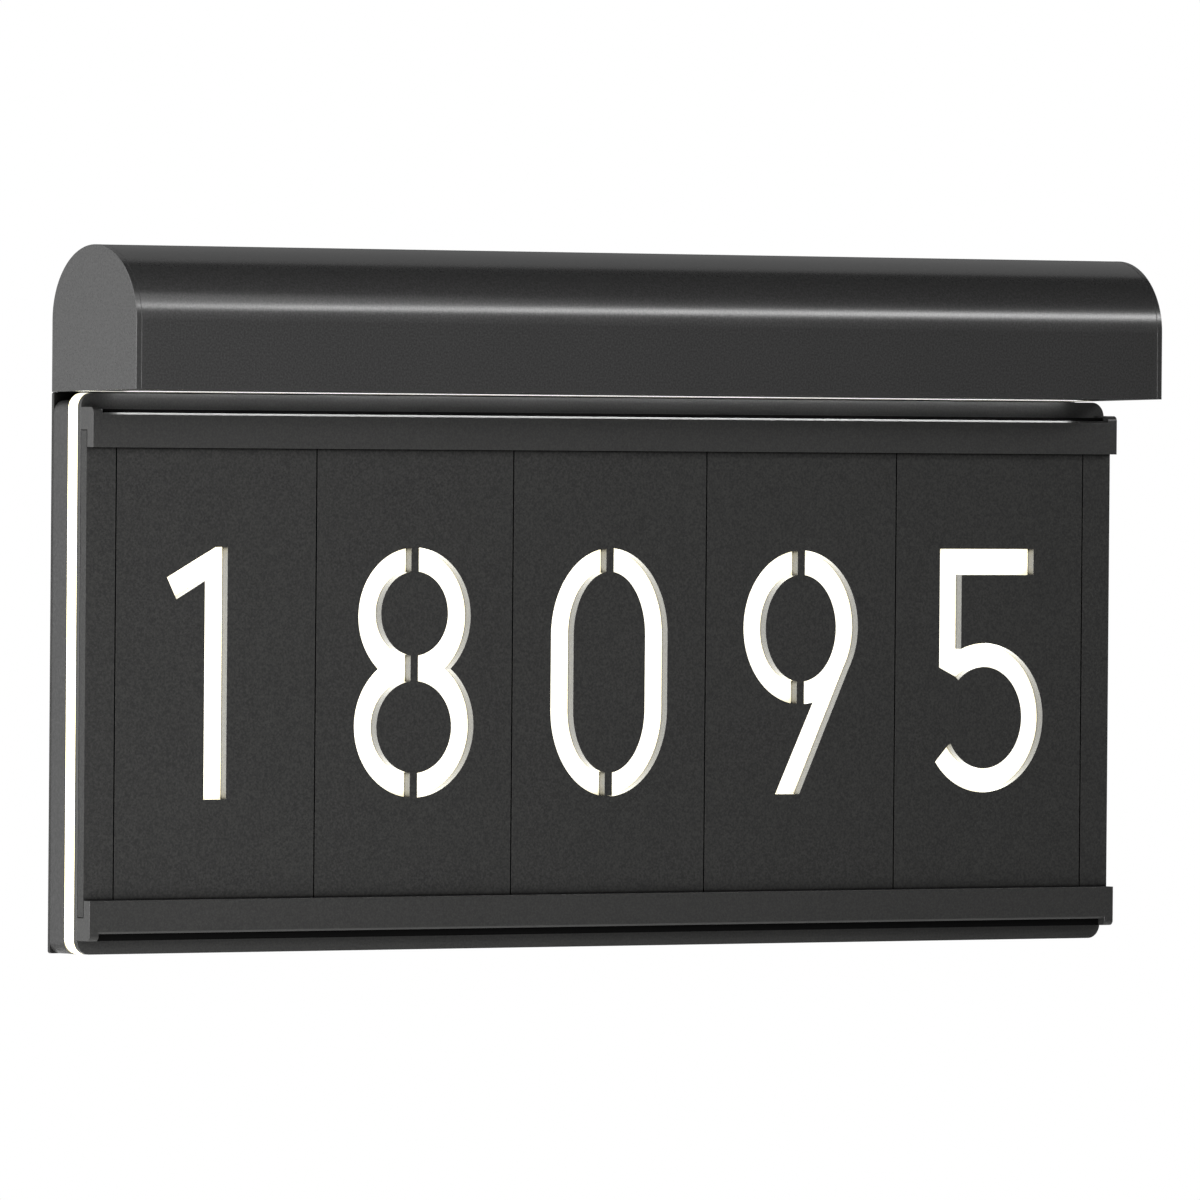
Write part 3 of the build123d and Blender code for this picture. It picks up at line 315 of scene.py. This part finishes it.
def floor():
    """Plain floor, well below the sign. It is clear from below, and from above it glows to the
    camera so that it looks pale."""
    material, tree, output = new_material("pale_floor")
    back = add(tree, "ShaderNodeNewGeometry").outputs["Backfacing"]
    seen = add(tree, "ShaderNodeLightPath").outputs["Is Camera Ray"]
    glow = add(tree, "ShaderNodeMath", {"operation": "MULTIPLY"}, links={0: seen}, values={1: FLOOR_GLOW})
    top = add(tree, "ShaderNodeBsdfPrincipled", links={"Emission Strength": glow.outputs["Value"]},
              values={"Base Color": linear("f4f4f2"), "Emission Color": linear("ffffff"), "Roughness": 0.9})
    clear = add(tree, "ShaderNodeBsdfTransparent")
    both = add(tree, "ShaderNodeMixShader", links={0: back, 1: top.outputs["BSDF"], 2: clear.outputs["BSDF"]})
    tree.links.new(both.outputs["Shader"], output.inputs["Surface"])
    sheet("floor", material, (0, 0, FLOOR_HEIGHT), FLOOR_SIZE, FLOOR_SIZE)


def dark_flags():
    """Black studio flags: one overhead leaves the hood's shoulder dark above the highlight, and two
    at the front right keep the white surroundings out of the flat fronts and off the highlight's
    upper side."""
    material, tree, output = new_material("black_flag")
    cloth = add(tree, "ShaderNodeBsdfPrincipled", values={"Base Color": linear("0c0c0c"), "Roughness": 0.9})
    tree.links.new(cloth.outputs["BSDF"], output.inputs["Surface"])
    reflections_only(sheet("overhead_flag", material, (0.4, -0.33, 1.15), 5.0, 0.95))
    reflections_only(sheet("front_flag", material, (1.52, -2.11, -0.075), 3.0, 1.65, facing=TO_SIGN))
    reflections_only(sheet("upper_flag", material, (1.7, -2.35, 2.15), 3.6, 1.6, facing=TO_SIGN))


def back_card():
    """Dim reflector behind the hood, brighter towards its top: the hood's crown mirrors it as an
    even grey."""
    material, tree, output = new_material("reflector_card")
    height = add(tree, "ShaderNodeSeparateXYZ", links={0: add(tree, "ShaderNodeTexCoord").outputs["Object"]})
    level = add(tree, "ShaderNodeMapRange", links={"Value": height.outputs["Z"]},
                values={"From Min": 0.2, "From Max": 1.0, "To Min": 0.05, "To Max": 0.55})
    glow = add(tree, "ShaderNodeEmission", links={"Strength": level.outputs["Result"]})
    tree.links.new(glow.outputs["Emission"], output.inputs["Surface"])
    reflections_only(sheet("back_card", material, (1.3, 0.94, 0.36), 3.4, 2.24, facing=(0, -1, -1)))


def area_light(name, place, target, size, power, height=None):
    """Rectangular softbox at a place, facing a target."""
    data = bpy.data.lights.new(name, "AREA")
    data.shape = "RECTANGLE"
    data.size = size
    data.size_y = height or size
    data.energy = power
    lamp = bpy.data.objects.new(name, data)
    lamp.location = place
    lamp.rotation_euler = (Vector(target) - Vector(place)).to_track_quat("-Z", "Y").to_euler()
    lamp.visible_camera = False
    bpy.context.scene.collection.objects.link(lamp)


def world():
    """Soft even fill; the background is plain white to the camera, in reflections and through glass."""
    surroundings = bpy.data.worlds.new("studio")
    surroundings.use_nodes = True
    bpy.context.scene.world = surroundings
    tree = surroundings.node_tree
    tree.nodes.clear()
    path = add(tree, "ShaderNodeLightPath")
    seen = add(tree, "ShaderNodeMath", {"operation": "MAXIMUM"},
               links={0: path.outputs["Is Camera Ray"], 1: path.outputs["Is Glossy Ray"]})
    through = add(tree, "ShaderNodeMath", {"operation": "MAXIMUM"},
                  links={0: seen.outputs["Value"], 1: path.outputs["Is Transmission Ray"]})
    power = add(tree, "ShaderNodeMapRange", links={"Value": through.outputs["Value"]},
                values={"To Min": FILL, "To Max": 1.0})
    light = add(tree, "ShaderNodeBackground", links={"Strength": power.outputs["Result"]},
                values={"Color": (1, 1, 1, 1)})
    add(tree, "ShaderNodeOutputWorld", links={"Surface": light.outputs["Background"]})


def camera():
    """Long lens at the left, level with the sign's top rail."""
    data = bpy.data.cameras.new("camera")
    data.sensor_width = SENSOR_WIDTH
    data.lens = FOCAL_LENGTH
    data.clip_end = CLIP_END
    piece = bpy.data.objects.new("camera", data)
    turn = Matrix.Rotation(-CAMERA_YAW, 4, "Z") @ Matrix.Rotation(math.pi / 2 + CAMERA_PITCH, 4, "X")
    turn = turn @ Matrix.Rotation(CAMERA_ROLL, 4, "Z")
    piece.matrix_world = Matrix.Translation(CAMERA_PLACE) @ turn
    bpy.context.scene.collection.objects.link(piece)
    bpy.context.scene.camera = piece


floor()
dark_flags()
back_card()
world()
camera()
# The key lights the fronts from the left, so its share falls off to the right.
area_light("key_softbox", (-0.88, -0.73, -0.2), (-0.1, 0, 0.05), 1.0, 22.0)
area_light("side_softbox", (-1.5, 0.35, 0.2), (-0.26, 0, 0.05), 0.9, 22.0)
area_light("back_softbox", (0.1, 1.8, -0.35), (0, 0, 0), 1.0, 14.0)
# The strip makes the hood's highlight, and the tall one its upper side, mostly at the left.
area_light("strip_softbox", (1.84, -1.68, 0.98), (0.3, 0, 0.14), 1.6, 15.0, height=0.2)
area_light("tall_softbox", (0.98, -2.29, 1.47), (-0.2, 0, 0.14), 1.2, 7.0, height=0.74)

scene = bpy.context.scene
scene.view_settings.view_transform = "Standard"
